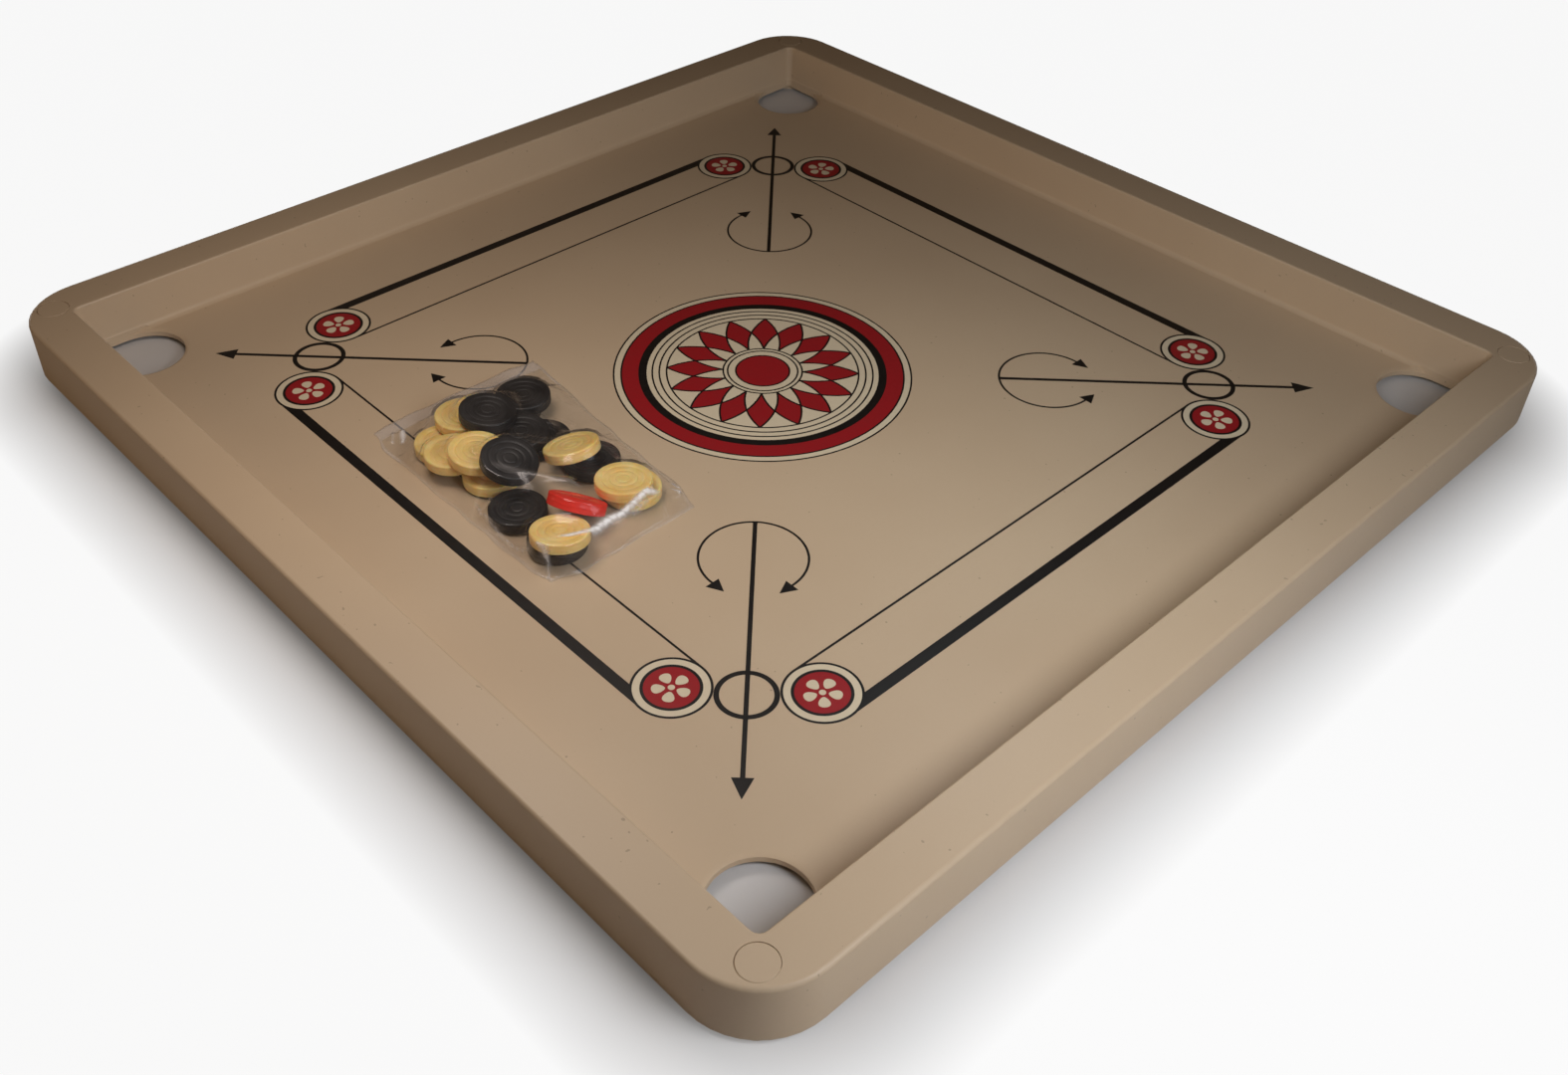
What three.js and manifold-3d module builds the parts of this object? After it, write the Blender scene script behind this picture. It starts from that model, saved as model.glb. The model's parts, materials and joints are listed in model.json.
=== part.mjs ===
// A small carrom board with its nineteen men in a clear packet lying on the field.
// Millimetres. +Z is up and the table is z = 0. The board is centred on the Z axis.
// +X and +Y run along its sides. The front corner is (+X, -Y) and the right corner is (+X, +Y).
import * as THREE from "three";
import { mergeVertices } from "three/addons/utils/BufferGeometryUtils.js";
import Module from "manifold-3d";

// ---------------------------------------------------------------- driving dimensions

const BOARD_SIDE = 508; // a twenty-inch board
const BOARD_HALF = BOARD_SIDE / 2;
const FOOT_LIFT = 2.5; // the moulding stands this far off the table
const RIM_TOP_Z = 28;
const FIELD_Z = 6;
const FLOOR_THICKNESS = 2.2;
const WALL_THICKNESS = 2.2;
const RIM_ROOF_Z = RIM_TOP_Z - WALL_THICKNESS;

const OUTER_CORNER_R = 30;
const OUTER_DRAFT = 0.4; // the skirt leans in by this from bottom to top
const RIM_EDGE_R = 1.6; // the rounded outer edge of the rim

const WELL_HALF = 231.4; // to the foot of the inner wall
const WELL_CORNER_R = 3;
const WELL_FILLET_R = 2.8; // between the field and the inner wall
const WELL_DRAFT = 0.55;
const WELL_EDGE_R = 1; // the rounded inner edge of the rim
const WELL_FILLET_CLEAR = 0.2; // corner radius left at the foot of the fillet

const RIB_THICKNESS = 1.6;
const RIB_PITCH = 58;
const RIBS_EACH_SIDE = 3; // either side of the middle rib

const POCKET_R = 18.8;
const POCKET_WALL_X = 231; // the pocket's straight edges run just inside the wall
const POCKET_CENTRE = POCKET_WALL_X - POCKET_R;
const POCKET_CORNER_R = 3;
const POCKET_LIP_WIDTH = 2.5;
const POCKET_LIP_DEPTH = 1.2;
const POCKET_LIP_OVERLAP = 0.3; // the cone that cuts the lip starts this far inside the hole
const POCKET_COLLAR = 1.8; // thickness of the wall round the pocket, below the floor

const PEG_CENTRE = 238.2;
const PEG_R = 7;
const PEG_GAP = 0.15;
const PEG_BORE_R = 4;
const PEG_BORE_TOP_Z = 20;
const PEG_EDGE = 0.3;
const FOOT_R = 8.5;
const FOOT_HEIGHT = FOOT_LIFT - PEG_GAP;
const SLEEVE_R = 10.2;

const MAN_R = 12.3;
const MAN_THICKNESS = 5;
const MAN_EDGE = 0.8;

const FILM_THICKNESS = 0.3;
const FILM_GAP = 0.3; // between field and film, and between the two sheets at the seal
const FILM_BOTTOM_Z = FIELD_Z + FILM_GAP;
const SEAL_Z = FILM_BOTTOM_Z + FILM_THICKNESS + FILM_GAP;
const FILM_CLEARANCE = 0.5; // upper sheet above the men
const FILM_REACH = 4.6; // the upper sheet keeps its height this far past a man's edge
const FILM_CELLS_X = 34;
const FILM_CELLS_Y = 22;
const FILM_EDGE_CELL = 1; // first cell next to the seal
const FILM_SETTLE_PASSES = 220;
// Packet corners on the field: left front, right front, right back, left back.
const PACKET_CORNERS = [[-85, -171], [50.5, -172], [49.5, -93], [-84, -80]];
const LEFT_SEAL_WIDTH = 8;

// Where each man lies: x, y, z of its centre, tilt and the direction it leans to, in degrees.
// Three layers, 5.4 apart, with a few men leaning on the ones beside them.
const LAYER_1 = 9.5;
const LAYER_2 = 14.9;
const BLACK_MEN = [
  [-51.9, -108.9, LAYER_2, 0, 0],
  [-45, -132.5, 21.4, 6, 50],
  [-30.3, -126, LAYER_2, 0, 0],
  [-27.1, -117.2, LAYER_1, 0, 0],
  [-9.4, -146.6, 22.7, 16, 20],
  [-0.6, -110.7, LAYER_1, 0, 0],
  [-54.2, -113.2, LAYER_1, 0, 0],
  [5.5, -154.6, LAYER_1, 0, 0],
  [32, -154.6, LAYER_1, 0, 0],
];
const CREAM_MEN = [
  [-57.1, -137.6, LAYER_2, 0, 0],
  [-52.7, -151.8, LAYER_1, 0, 0],
  [-38, -156.1, LAYER_2, 0, 0],
  [-26, -151.5, 20, 6, 20],
  [-21.1, -148.8, LAYER_1, 0, 0],
  [-3.9, -118.6, 18.4, 19, 180],
  [25.9, -114.8, 15.5, 4, 135],
  [26, -110.2, LAYER_1, 0, 0],
  [35.8, -155.6, 16.6, 9, 135],
];
const QUEEN = [24.5, -138.2, 16.2, 35, 113];

const OUTER_CORNER_STEPS = 10;
const WELL_CORNER_STEPS = 4;
const FILLET_STEPS = 3;
const ROUND_STEPS = 36;
const MAN_STEPS = 22;
const PAST = 2; // how far a cutting body runs past the face it cuts
const FLAT = 1e-9; // a man leaning less than this lies flat
const SPOKES = 12; // directions in which the film looks for a man

const COLOURS = {
  board: { colour: "#b59c7c", roughness: 0.45 },
  foot: { colour: "#a98f70", roughness: 0.5 },
  cream: { colour: "#dcb96f", roughness: 0.4 },
  black: { colour: "#1b1b1e", roughness: 0.4 },
  red: { colour: "#a8191c", roughness: 0.4 },
  film: { colour: "#dfe4e8", roughness: 0.15 },
};

const wasm = await Module();
wasm.setup();

// ---------------------------------------------------------------- helpers

function indexed(positions, triangles) {
  const geometry = new THREE.BufferGeometry();
  geometry.setAttribute("position", new THREE.Float32BufferAttribute(positions, 3));
  geometry.setIndex(triangles);
  return geometry;
}

// Merged, with no triangle that has lost its area.
function clean(geometry) {
  const bare = geometry.clone();
  bare.deleteAttribute("normal");
  bare.deleteAttribute("uv");
  const merged = mergeVertices(bare);
  const old = merged.index.array;
  const kept = [];
  for (let i = 0; i < old.length; i += 3) {
    const [a, b, c] = [old[i], old[i + 1], old[i + 2]];
    if (a !== b && b !== c && c !== a) {
      kept.push(a, b, c);
    }
  }
  merged.setIndex(kept);
  return merged;
}

function toSolid(geometry) {
  const merged = clean(geometry);
  const mesh = new wasm.Mesh({
    numProp: 3,
    vertProperties: new Float32Array(merged.attributes.position.array),
    triVerts: new Uint32Array(merged.index.array),
  });
  return new wasm.Manifold(mesh);
}

function toGeometry(solid) {
  const mesh = solid.getMesh();
  return indexed(Array.from(mesh.vertProperties), Array.from(mesh.triVerts));
}

function box(x0, x1, y0, y1, z0, z1) {
  const geometry = new THREE.BoxGeometry(x1 - x0, y1 - y0, z1 - z0);
  geometry.translate((x0 + x1) / 2, (y0 + y1) / 2, (z0 + z1) / 2);
  return toSolid(geometry);
}

// A turned body about +Z from [radius, z] points that start and end on the axis.
function turned(profile, steps) {
  const points = profile.map(([r, z]) => new THREE.Vector2(r, z));
  const geometry = new THREE.LatheGeometry(points, steps);
  geometry.rotateX(Math.PI / 2);
  return geometry;
}

function roundedSquare(half, radius, steps) {
  const points = [];
  const centre = half - radius;
  for (let corner = 0; corner < 4; corner += 1) {
    const start = (corner * Math.PI) / 2;
    const cx = centre * (corner === 0 || corner === 3 ? 1 : -1);
    const cy = centre * (corner < 2 ? 1 : -1);
    for (let i = 0; i <= steps; i += 1) {
      const angle = start + ((i / steps) * Math.PI) / 2;
      points.push([cx + radius * Math.cos(angle), cy + radius * Math.sin(angle)]);
    }
  }
  return points;
}

// A closed body through rounded squares given bottom to top as [half, radius, z].
function loft(rings, steps) {
  const positions = [];
  const triangles = [];
  const count = 4 * (steps + 1);
  for (const [half, radius, z] of rings) {
    for (const [x, y] of roundedSquare(half, radius, steps)) {
      positions.push(x, y, z);
    }
  }
  for (let ring = 0; ring + 1 < rings.length; ring += 1) {
    for (let i = 0; i < count; i += 1) {
      const a = ring * count + i;
      const b = ring * count + ((i + 1) % count);
      triangles.push(a, b, b + count, a, b + count, a + count);
    }
  }
  const last = (rings.length - 1) * count;
  for (let i = 1; i + 1 < count; i += 1) {
    triangles.push(0, i + 1, i, last, last + i, last + i + 1);
  }
  return indexed(positions, triangles);
}

// [offset, rise] along a quarter circle, from level to upright.
function quarter(radius, i, steps) {
  const angle = ((i / steps) * Math.PI) / 2;
  return [radius * Math.sin(angle), radius * (1 - Math.cos(angle))];
}

// ---------------------------------------------------------------- the board

function outerBlock() {
  const centre = BOARD_HALF - OUTER_CORNER_R;
  const top = BOARD_HALF - OUTER_DRAFT;
  const rings = [[BOARD_HALF, OUTER_CORNER_R, FOOT_LIFT]];
  for (let i = FILLET_STEPS; i >= 0; i -= 1) {
    const [out, drop] = quarter(RIM_EDGE_R, i, FILLET_STEPS);
    const half = top - RIM_EDGE_R + out;
    rings.push([half, half - centre, RIM_TOP_Z - drop]);
  }
  return toSolid(loft(rings, OUTER_CORNER_STEPS));
}

function well() {
  const centre = WELL_HALF - WELL_CORNER_R;
  const rings = [];
  for (let i = 0; i <= FILLET_STEPS; i += 1) {
    const [out, rise] = quarter(WELL_FILLET_R, i, FILLET_STEPS);
    const half = WELL_HALF - WELL_FILLET_R + out;
    rings.push([half, Math.max(half - centre, WELL_FILLET_CLEAR), FIELD_Z + rise]);
  }
  const top = WELL_HALF + WELL_DRAFT;
  for (let i = FILLET_STEPS; i >= 0; i -= 1) {
    const [back, drop] = quarter(WELL_EDGE_R, i, FILLET_STEPS);
    const half = top + WELL_EDGE_R - back;
    rings.push([half, half - centre, RIM_TOP_Z - drop]);
  }
  const mouth = top + WELL_EDGE_R;
  rings.push([mouth, mouth - centre, RIM_TOP_Z + PAST]);
  return toSolid(loft(rings, WELL_CORNER_STEPS));
}

function prism(half, radius, z0, z1, steps) {
  return toSolid(loft([[half, radius, z0], [half, radius, z1]], steps));
}

// The space inside the hollow rim at the +X +Y corner, round the peg's sleeve, open below.
function cornerChannel() {
  const innerHalf = WELL_HALF + WALL_THICKNESS;
  const outerHalf = BOARD_HALF - WALL_THICKNESS;
  const outerR = OUTER_CORNER_R - WALL_THICKNESS;
  const innerR = WELL_CORNER_R + WALL_THICKNESS;
  const last = RIBS_EACH_SIDE * RIB_PITCH + RIB_THICKNESS / 2;
  const far = BOARD_HALF + PAST;
  const whole = prism(outerHalf, outerR, 0, RIM_ROOF_Z, OUTER_CORNER_STEPS);
  const middle = prism(innerHalf, innerR, -PAST, RIM_TOP_Z, WELL_CORNER_STEPS);
  const corner = box(last, far, last, far, -PAST, RIM_TOP_Z);
  const sleeve = cylinder(SLEEVE_R, -PAST, RIM_TOP_Z, PEG_CENTRE, PEG_CENTRE);
  return whole.subtract(middle).intersect(corner).subtract(sleeve);
}

// Both ends of each space between two ribs, out to +-limit.
function spacesBetweenRibs(limit) {
  const t = RIB_THICKNESS / 2;
  const spaces = [];
  for (let k = -RIBS_EACH_SIDE; k <= RIBS_EACH_SIDE + 1; k += 1) {
    const from = Math.max((k - 1) * RIB_PITCH + t, -limit);
    const to = Math.min(k * RIB_PITCH - t, limit);
    spaces.push([from, to]);
  }
  return spaces;
}

// What is cut from below: a grid of cells under the floor, clear of the wall that runs round
// each pocket, and a run of cells inside the rim.
function undersideCells() {
  const floorZ = FIELD_Z - FLOOR_THICKNESS;
  const innerHalf = WELL_HALF + WALL_THICKNESS;
  const outerHalf = BOARD_HALF - WALL_THICKNESS;
  const spaces = spacesBetweenRibs(WELL_HALF);
  const collarR = POCKET_R + POCKET_COLLAR;
  const collar = cylinder(collarR, -PAST, FIELD_Z, POCKET_CENTRE, POCKET_CENTRE);
  const collars = atEachCorner(collar).reduce((all, one) => all.add(one));
  const cells = [];
  for (const [x0, x1] of spaces) {
    for (const [y0, y1] of spaces) {
      cells.push(box(x0, x1, y0, y1, 0, floorZ).subtract(collars));
    }
  }
  for (const [from, to] of spaces.slice(1, -1)) {
    cells.push(...atEachCorner(box(from, to, innerHalf, outerHalf, 0, RIM_ROOF_Z)));
  }
  return [...cells, ...atEachCorner(cornerChannel())];
}

function arc(cx, cy, radius, fromDegrees, toDegrees) {
  const points = [];
  const steps = Math.round((Math.abs(toDegrees - fromDegrees) * ROUND_STEPS) / 360);
  for (let i = 0; i <= steps; i += 1) {
    const degrees = fromDegrees + ((toDegrees - fromDegrees) * i) / steps;
    const angle = THREE.MathUtils.degToRad(degrees);
    points.push(new THREE.Vector2(cx + radius * Math.cos(angle), cy + radius * Math.sin(angle)));
  }
  return points;
}

// The pocket's outline: three quarters of a circle and two straight edges into the corner.
function pocketShape() {
  const c = POCKET_CENTRE;
  const fillet = POCKET_WALL_X - POCKET_CORNER_R;
  const round = arc(c, c, POCKET_R, 90, 360);
  return new THREE.Shape([...round, ...arc(fillet, fillet, POCKET_CORNER_R, 0, 90)]);
}

function pocket() {
  const depth = FIELD_Z + WELL_FILLET_R + PAST;
  const options = { depth, bevelEnabled: false };
  const hole = toSolid(new THREE.ExtrudeGeometry(pocketShape(), options));
  const slope = POCKET_LIP_DEPTH / POCKET_LIP_WIDTH;
  const start = POCKET_R - POCKET_LIP_OVERLAP;
  const startZ = FIELD_Z - POCKET_LIP_DEPTH - POCKET_LIP_OVERLAP * slope;
  const lipR = POCKET_R + POCKET_LIP_WIDTH;
  const profile = [[0, startZ], [start, startZ], [lipR, FIELD_Z], [lipR, depth], [0, depth]];
  const lip = turned(profile, ROUND_STEPS);
  lip.translate(POCKET_CENTRE, POCKET_CENTRE, 0);
  const inside = box(0, POCKET_WALL_X, 0, POCKET_WALL_X, 0, depth + PAST);
  return hole.add(toSolid(lip).intersect(inside));
}

function atEachCorner(solid) {
  return [0, 90, 180, 270].map((angle) => solid.rotate([0, 0, angle]));
}

function cylinder(radius, z0, z1, x, y) {
  const geometry = turned([[0, z0], [radius, z0], [radius, z1], [0, z1]], ROUND_STEPS);
  geometry.translate(x, y, 0);
  return toSolid(geometry);
}

function boardMoulding() {
  const bore = cylinder(PEG_R + PEG_GAP, 0, RIM_TOP_Z + PAST, PEG_CENTRE, PEG_CENTRE);
  const cuts = [well(), ...undersideCells(), ...atEachCorner(bore), ...atEachCorner(pocket())];
  return toGeometry(cuts.reduce((body, cut) => body.subtract(cut), outerBlock()));
}

// ---------------------------------------------------------------- feet, men and packet

// A peg flush with the rim's top, with the foot at its lower end and a bore from below.
function cornerFoot(x, y) {
  const profile = [
    [0, PEG_BORE_TOP_Z],
    [PEG_BORE_R, PEG_BORE_TOP_Z],
    [PEG_BORE_R, 0],
    [FOOT_R, 0],
    [FOOT_R, FOOT_HEIGHT],
    [PEG_R, FOOT_HEIGHT],
    [PEG_R, RIM_TOP_Z - PEG_EDGE],
    [PEG_R - PEG_EDGE, RIM_TOP_Z],
    [0, RIM_TOP_Z],
  ];
  const geometry = turned(profile, ROUND_STEPS);
  geometry.translate(x, y, 0);
  return geometry;
}

function leanOf([, , , tilt, towards]) {
  const t = THREE.MathUtils.degToRad(tilt);
  const a = THREE.MathUtils.degToRad(towards);
  return new THREE.Vector3(Math.sin(t) * Math.cos(a), Math.sin(t) * Math.sin(a), Math.cos(t));
}

function man(place) {
  const h = MAN_THICKNESS / 2;
  const profile = [
    [0, -h],
    [MAN_R - MAN_EDGE, -h],
    [MAN_R, MAN_EDGE - h],
    [MAN_R, h - MAN_EDGE],
    [MAN_R - MAN_EDGE, h],
    [0, h],
  ];
  const geometry = turned(profile, MAN_STEPS);
  const up = new THREE.Vector3(0, 0, 1);
  const turn = new THREE.Quaternion().setFromUnitVectors(up, leanOf(place));
  geometry.applyQuaternion(turn);
  geometry.translate(place[0], place[1], place[2]);
  return geometry;
}

// Height of a man's upper side above the point (x, y), or -Infinity off the man.
function topOfMan(place, x, y) {
  const n = leanOf(place);
  const dx = x - place[0];
  const dy = y - place[1];
  const s = n.x * dx + n.y * dy;
  const high = (MAN_THICKNESS / 2 - s) / n.z;
  const low = (-MAN_THICKNESS / 2 - s) / n.z;
  const a = 1 - n.z * n.z;
  const c = dx * dx + dy * dy - s * s - MAN_R * MAN_R;
  if (a < FLAT) {
    return c <= 0 ? place[2] + high : -Infinity;
  }
  const root = (n.z * s) ** 2 - a * c;
  if (root < 0) {
    return -Infinity;
  }
  const upper = (n.z * s + Math.sqrt(root)) / a;
  const lower = (n.z * s - Math.sqrt(root)) / a;
  return upper >= low && lower <= high ? place[2] + Math.min(high, upper) : -Infinity;
}

// Highest man within FILM_REACH of (x, y).
function topOfPile(x, y) {
  let top = -Infinity;
  for (const place of [...BLACK_MEN, ...CREAM_MEN, QUEEN]) {
    top = Math.max(top, topOfMan(place, x, y));
    for (let k = 0; k < SPOKES; k += 1) {
      const angle = (2 * Math.PI * k) / SPOKES;
      for (const reach of [FILM_REACH / 2, FILM_REACH]) {
        const px = x + reach * Math.cos(angle);
        const py = y + reach * Math.sin(angle);
        top = Math.max(top, topOfMan(place, px, py));
      }
    }
  }
  return top;
}

// Cell edges from 0 to 1, with one narrow cell at each end.
function cellEdges(cells, length) {
  const narrow = FILM_EDGE_CELL / length;
  const edges = [0];
  for (let i = 0; i <= cells - 2; i += 1) {
    edges.push(narrow + ((1 - 2 * narrow) * i) / (cells - 2));
  }
  edges.push(1);
  return edges;
}

function packetPoint(u, v) {
  const [a, b, c, d] = PACKET_CORNERS;
  return [0, 1].map(
    (k) => (1 - v) * ((1 - u) * a[k] + u * b[k]) + v * ((1 - u) * d[k] + u * c[k]),
  );
}

// The upper sheet's underside: a taut skin held down at the seals and held up by the men.
function drape(us, vs) {
  const points = vs.map((v) => us.map((u) => packetPoint(u, v)));
  const held = points.map((row, j) =>
    row.map((p, i) => {
      const edge = i === 0 || j === 0 || i === us.length - 1 || j === vs.length - 1;
      return edge || p[0] - points[j][0][0] < LEFT_SEAL_WIDTH;
    }),
  );
  const floor = points.map((row, j) =>
    row.map((p, i) => (held[j][i] ? SEAL_Z : Math.max(SEAL_Z, topOfPile(...p) + FILM_CLEARANCE))),
  );
  const z = floor.map((row) => row.slice());
  for (let pass = 0; pass < FILM_SETTLE_PASSES; pass += 1) {
    for (let j = 1; j + 1 < vs.length; j += 1) {
      for (let i = 1; i + 1 < us.length; i += 1) {
        if (!held[j][i]) {
          const mean = (z[j][i - 1] + z[j][i + 1] + z[j - 1][i] + z[j + 1][i]) / 4;
          z[j][i] = Math.max(floor[j][i], mean);
        }
      }
    }
  }
  return points.map((row, j) => row.map((p, i) => [p[0], p[1], z[j][i]]));
}

// A sheet of film over a grid of points, thick upwards.
function sheet(grid) {
  const rows = grid.length;
  const columns = grid[0].length;
  const flat = grid.flat();
  const under = flat.map(([x, y, z]) => [x, y, z]);
  const over = flat.map(([x, y, z]) => [x, y, z + FILM_THICKNESS]);
  const count = flat.length;
  const triangles = [];
  const quad = (a, b, c, d) => triangles.push(a, b, c, a, c, d);
  for (let j = 0; j + 1 < rows; j += 1) {
    for (let i = 0; i + 1 < columns; i += 1) {
      const a = j * columns + i;
      const b = a + 1;
      const c = b + columns;
      const d = a + columns;
      quad(a + count, b + count, c + count, d + count);
      quad(a, d, c, b);
    }
  }
  const rim = [];
  for (let i = 0; i + 1 < columns; i += 1) {
    rim.push(i);
  }
  for (let j = 0; j + 1 < rows; j += 1) {
    rim.push(j * columns + columns - 1);
  }
  for (let i = columns - 1; i > 0; i -= 1) {
    rim.push((rows - 1) * columns + i);
  }
  for (let j = rows - 1; j > 0; j -= 1) {
    rim.push(j * columns);
  }
  rim.forEach((a, k) => {
    const b = rim[(k + 1) % rim.length];
    quad(a, b, b + count, a + count);
  });
  return indexed([...under, ...over].flat(), triangles);
}

function filmUpper() {
  const [a, b, , d] = PACKET_CORNERS;
  const us = cellEdges(FILM_CELLS_X, b[0] - a[0]);
  const vs = cellEdges(FILM_CELLS_Y, d[1] - a[1]);
  return sheet(drape(us, vs));
}

function filmLower() {
  const grid = [0, 1].map((v) => [0, 1].map((u) => [...packetPoint(u, v), FILM_BOTTOM_Z]));
  return sheet(grid);
}

// ---------------------------------------------------------------- assembly

function addPiece(group, name, geometry, look) {
  const merged = clean(geometry);
  const flat = merged.toNonIndexed();
  flat.computeVertexNormals();
  const material = new THREE.MeshStandardMaterial({
    color: look.colour,
    roughness: look.roughness,
    metalness: 0,
  });
  const mesh = new THREE.Mesh(flat, material);
  mesh.name = name;
  group.add(mesh);
}

function build() {
  const group = new THREE.Group();
  group.name = "carrom_board";
  addPiece(group, "board_moulding", boardMoulding(), COLOURS.board);
  const corners = { front: [1, -1], right: [1, 1], back: [-1, 1], left: [-1, -1] };
  for (const [name, [sx, sy]] of Object.entries(corners)) {
    const foot = cornerFoot(sx * PEG_CENTRE, sy * PEG_CENTRE);
    addPiece(group, `corner_foot_${name}`, foot, COLOURS.foot);
  }
  CREAM_MEN.forEach((place, i) => {
    addPiece(group, `cream_man_${i + 1}`, man(place), COLOURS.cream);
  });
  BLACK_MEN.forEach((place, i) => {
    addPiece(group, `black_man_${i + 1}`, man(place), COLOURS.black);
  });
  addPiece(group, "queen", man(QUEEN), COLOURS.red);
  addPiece(group, "packet_film_lower", filmLower(), COLOURS.film);
  addPiece(group, "packet_film_upper", filmUpper(), COLOURS.film);
  return group;
}

export default build();
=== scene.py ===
import json
import math
from collections import namedtuple

import bpy
import numpy as np
from mathutils import Matrix, Vector


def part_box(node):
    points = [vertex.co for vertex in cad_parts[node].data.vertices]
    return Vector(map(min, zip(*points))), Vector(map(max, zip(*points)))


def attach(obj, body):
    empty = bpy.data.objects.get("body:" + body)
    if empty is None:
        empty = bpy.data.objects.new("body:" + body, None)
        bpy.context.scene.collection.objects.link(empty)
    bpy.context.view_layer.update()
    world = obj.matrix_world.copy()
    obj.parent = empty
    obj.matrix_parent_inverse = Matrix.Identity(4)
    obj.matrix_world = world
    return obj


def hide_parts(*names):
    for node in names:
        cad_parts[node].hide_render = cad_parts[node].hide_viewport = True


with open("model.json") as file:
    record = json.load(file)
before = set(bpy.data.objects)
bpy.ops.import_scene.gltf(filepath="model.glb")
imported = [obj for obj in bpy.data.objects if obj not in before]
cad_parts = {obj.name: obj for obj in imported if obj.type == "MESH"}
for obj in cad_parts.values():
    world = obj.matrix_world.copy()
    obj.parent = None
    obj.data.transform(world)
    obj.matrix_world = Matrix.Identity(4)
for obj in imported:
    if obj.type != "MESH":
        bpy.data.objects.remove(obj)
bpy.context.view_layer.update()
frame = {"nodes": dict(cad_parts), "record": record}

# Looks for a small carrom board with its men in a clear packet. Metres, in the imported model's frame.
# Helpers that draw on the playing field work in millimetres, and add_mesh turns those to metres.

MM = 0.001
field_mount = next(m for m in frame["record"]["mounts"] if m["name"] == "playing_field")
FIELD_Z = field_mount["pos_m"][2] / MM
BOARD_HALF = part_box("board_moulding")[1].x

PRINT_UNIT = 166.0  # half the distance between facing base circles
PRINT_CENTRE = (-5.3, -5.3)  # the print is a little off the board's centre
MILK_AND_HIGHLIGHT = "milk_and_highlight"  # the film's point attribute that says how white it is: milky seals, painted glare on the left seal and painted highlights along folds
SEED = 7
rng = np.random.default_rng(SEED)


# ---------- node helpers

MIX_FACTOR = 0  # a Mix node has sockets of one name for each data type, so these go by place
MIX_COLOUR_A = 6
MIX_COLOUR_B = 7
MIX_COLOUR_OUT = 2


class Nodes:
    """A material's node tree, with short calls for the nodes that the materials share."""

    def __init__(self, name):
        self.material = bpy.data.materials.new(name)
        self.material.use_nodes = True
        self.tree = self.material.node_tree
        self.tree.nodes.clear()
        self.out = self.tree.nodes.new("ShaderNodeOutputMaterial")
        self.place = self.node("ShaderNodeTexCoord").outputs["Object"]

    def node(self, kind, **inputs):
        made = self.tree.nodes.new(kind)
        for key, value in inputs.items():
            self.put(made.inputs[key.replace("_", " ")], value)
        return made

    def put(self, socket, value):
        if isinstance(value, bpy.types.NodeSocket):
            self.tree.links.new(value, socket)
        else:
            socket.default_value = value

    def noise(self, scale, detail=3.0, rough=0.55, stretch=None):
        place = self.place
        if stretch:
            mapping = self.node("ShaderNodeMapping", Vector=place, Scale=stretch)
            place = mapping.outputs["Vector"]
        made = self.node("ShaderNodeTexNoise", Vector=place, Scale=scale, Detail=detail, Roughness=rough)
        return made.outputs["Fac"]

    def remap(self, value, low, high, to_low=0.0, to_high=1.0):
        ends = {"From_Min": low, "From_Max": high, "To_Min": to_low, "To_Max": to_high}
        return self.node("ShaderNodeMapRange", Value=value, **ends).outputs["Result"]

    def math(self, operation, a, b=0.0):
        made = self.tree.nodes.new("ShaderNodeMath")
        made.operation = operation
        self.put(made.inputs[0], a)
        self.put(made.inputs[1], b)
        return made.outputs[0]

    def mix(self, factor, a, b):
        made = self.tree.nodes.new("ShaderNodeMix")
        made.data_type = "RGBA"
        self.put(made.inputs[MIX_FACTOR], factor)
        self.put(made.inputs[MIX_COLOUR_A], a)
        self.put(made.inputs[MIX_COLOUR_B], b)
        return made.outputs[MIX_COLOUR_OUT]

    def mix_shaders(self, factor, a, b):
        made = self.node("ShaderNodeMixShader", Fac=factor)
        self.tree.links.new(a.outputs[0], made.inputs[1])
        self.tree.links.new(b.outputs[0], made.inputs[2])
        return made

    def bump(self, height, distance, strength, normal=None):
        made = self.node("ShaderNodeBump", Height=height, Distance=distance, Strength=strength)
        if normal is not None:
            self.put(made.inputs["Normal"], normal)
        return made.outputs["Normal"]

    def surface(self, shader):
        self.tree.links.new(shader.outputs[0], self.out.inputs["Surface"])

    def principled(self, **inputs):
        made = self.node("ShaderNodeBsdfPrincipled", **inputs)
        self.surface(made)
        return made


def rgb(r, g, b):
    """sRGB 0 to 255 as a linear colour."""
    def linear(c):
        c = c / 255
        return c / 12.92 if c <= 0.04045 else ((c + 0.055) / 1.055) ** 2.4
    return (linear(r), linear(g), linear(b), 1.0)


WORN_TONE = (1.0, 0.96, 0.9, 1.0)
GRIT_TONE = rgb(92, 74, 60)
PLASTIC_IOR = 1.49
PLASTIC_GLOSS = 0.4  # specular level of the board's satin plastic
PEEL_DEPTH = 0.00006  # depths of fine relief, metres
GRAIN_DEPTH = 0.00002

# In the materials below, a noise's first number is its scale, in cycles per metre.


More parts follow.
